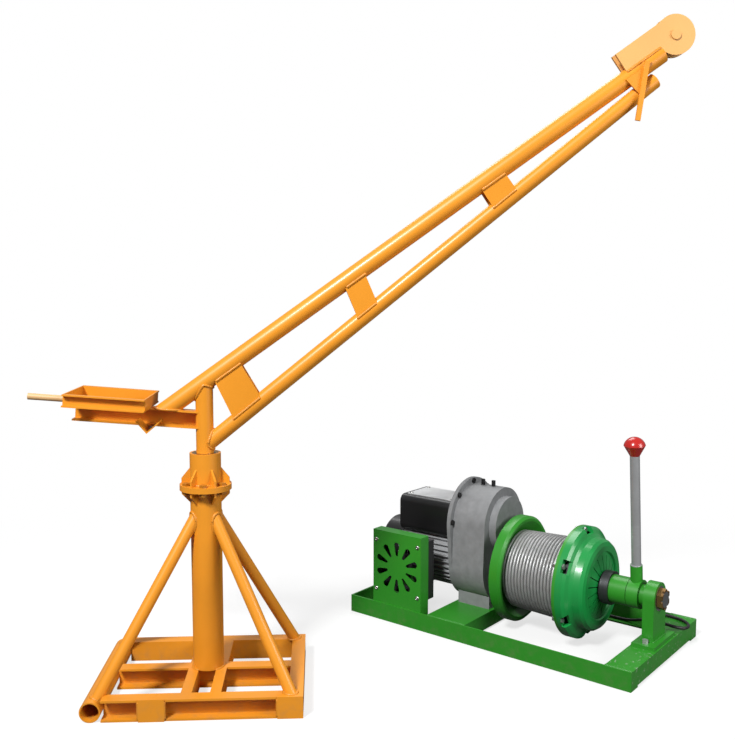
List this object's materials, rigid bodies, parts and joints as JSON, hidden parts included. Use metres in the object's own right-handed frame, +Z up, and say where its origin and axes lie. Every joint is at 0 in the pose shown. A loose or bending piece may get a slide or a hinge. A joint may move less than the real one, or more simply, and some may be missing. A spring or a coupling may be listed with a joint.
{
  "type": "material hoist",
  "caption": "Free-standing slewing jib crane on a braced base with a ballast tray and head sheave, and a floor-standing electric winch with clutch lever and wound drum.",
  "frame": {"origin": "on the floor under the mast's axis, at the underside of the base's cross channel", "axes": "+Z up along the mast, +X along the jib towards its head, +Y away from the viewer"},
  "size_m": [2.0527, 1.2059, 1.9255],
  "materials": {
    "orange_paint": "gloss paint",
    "pale_orange_paint": "gloss paint",
    "green_paint": "gloss paint",
    "teal_paint": "satin paint",
    "grey_cast": "grey paint on a rough casting",
    "dark_cast": "bare casting",
    "steel": "machined",
    "galvanised": "galvanised",
    "bronze": "worn bronze",
    "black_metal": "satin paint",
    "black_plastic": "moulded",
    "black_rubber": "smooth",
    "red_plastic": "polished",
    "lining": "woven friction lining"
  },
  "bodies": {
    "base": {"base_front_channel": "orange_paint", "base_rear_channel": "orange_paint", "base_left_tube": "orange_paint", "base_right_channel": "orange_paint", "base_cross_members": "orange_paint", "mast_tube": "orange_paint", "mast_flange": "orange_paint", "mast_braces": "orange_paint", "bearing_housing": "orange_paint", "flange_bolts": "galvanised", "slew_bearings": "bronze", "winch_rails": "green_paint", "left_end_rail": "green_paint", "right_end_beam": "green_paint", "gearbox_bed": "green_paint", "fan_guard": "green_paint", "fan_frame": "black_plastic", "motor_housing": "grey_cast", "motor_fan_cover": "black_metal", "terminal_box": "black_metal", "terminal_plate": "steel", "gearbox_case": "grey_cast", "gearbox_cover": "grey_cast", "winch_bolts": "galvanised", "train_bearings": "steel", "pedestal": "green_paint", "power_cord": "black_rubber", "cable_gland": "black_plastic", "plug": "black_rubber"},
    "jib": {"slewing_post": "orange_paint", "tray_beam": "orange_paint", "tray_cross_angle": "orange_paint", "tray_frame": "orange_paint", "tray_handle": "pale_orange_paint", "upper_jib_tube": "orange_paint", "lower_jib_tube": "orange_paint", "gusset_plates": "orange_paint", "tag_bar": "orange_paint", "head_cheeks": "pale_orange_paint", "sheave_pin": "steel"},
    "sheave": {"rope_sheave": "dark_cast"},
    "fan": {"fan_rotor": "black_plastic"},
    "rotor": {"motor_rotor": "steel", "motor_pinion": "steel"},
    "countershaft": {"countershaft": "steel", "counter_gears": "steel"},
    "main_shaft": {"output_shaft": "steel", "drum_gear": "steel", "clutch_disc": "lining", "castle_nut": "bronze"},
    "drum": {"drum_barrel": "green_paint", "rope_winding": "galvanised", "clutch_cover": "teal_paint", "clutch_bolts": "galvanised", "diaphragm_spring": "teal_paint", "pressure_plate": "dark_cast"},
    "release": {"release_sleeve": "green_paint", "release_bearing": "dark_cast"},
    "lever": {"lever": "green_paint", "lever_knob": "red_plastic"}
  },
  "joints": [
    {"name": "slew", "type": "hinge", "parent": "base", "child": "jib", "pos_m": [0, 0, 0.6], "axis": [0, 0, 1], "continuous": true},
    {"name": "sheave_spin", "type": "hinge", "parent": "jib", "child": "sheave", "pos_m": [1.33119, 0, 1.86955], "axis": [0, 1, 0], "continuous": true},
    {"name": "drum_spin", "type": "hinge", "parent": "base", "child": "drum", "pos_m": [1.01, 0.43, 0.2], "axis": [0.7431, -0.6691, 0], "continuous": true},
    {"name": "shaft_spin", "type": "hinge", "parent": "base", "child": "main_shaft", "pos_m": [1.01, 0.43, 0.2], "axis": [0.7431, -0.6691, 0], "continuous": true},
    {"name": "countershaft_spin", "type": "hinge", "parent": "base", "child": "countershaft", "pos_m": [1.01, 0.43, 0.344], "axis": [0.7431, -0.6691, 0], "continuous": true},
    {"name": "rotor_spin", "type": "hinge", "parent": "base", "child": "rotor", "pos_m": [1.01, 0.43, 0.2], "axis": [0.7431, -0.6691, 0], "continuous": true},
    {"name": "fan_spin", "type": "hinge", "parent": "base", "child": "fan", "pos_m": [0.6212, 0.48539, 0.196], "axis": [0.6691, 0.7431, 0], "continuous": true},
    {"name": "lever_swing", "type": "hinge", "parent": "base", "child": "lever", "pos_m": [1.01, 0.43, 0.2], "axis": [-0.7431, 0.6691, 0], "range_deg": [0, 35]},
    {"name": "release_slide", "type": "slide", "parent": "base", "child": "release", "axis": [-0.7431, 0.6691, 0], "range_m": [0, 0.004]}
  ],
  "couplings": [
    {"joint": "shaft_spin", "follows": "drum_spin", "ratio": 1},
    {"joint": "countershaft_spin", "follows": "drum_spin", "ratio": -3.8},
    {"joint": "rotor_spin", "follows": "drum_spin", "ratio": 11.4},
    {"joint": "release_slide", "follows": "lever_swing", "m_per_rad": 0.006417}
  ]
}
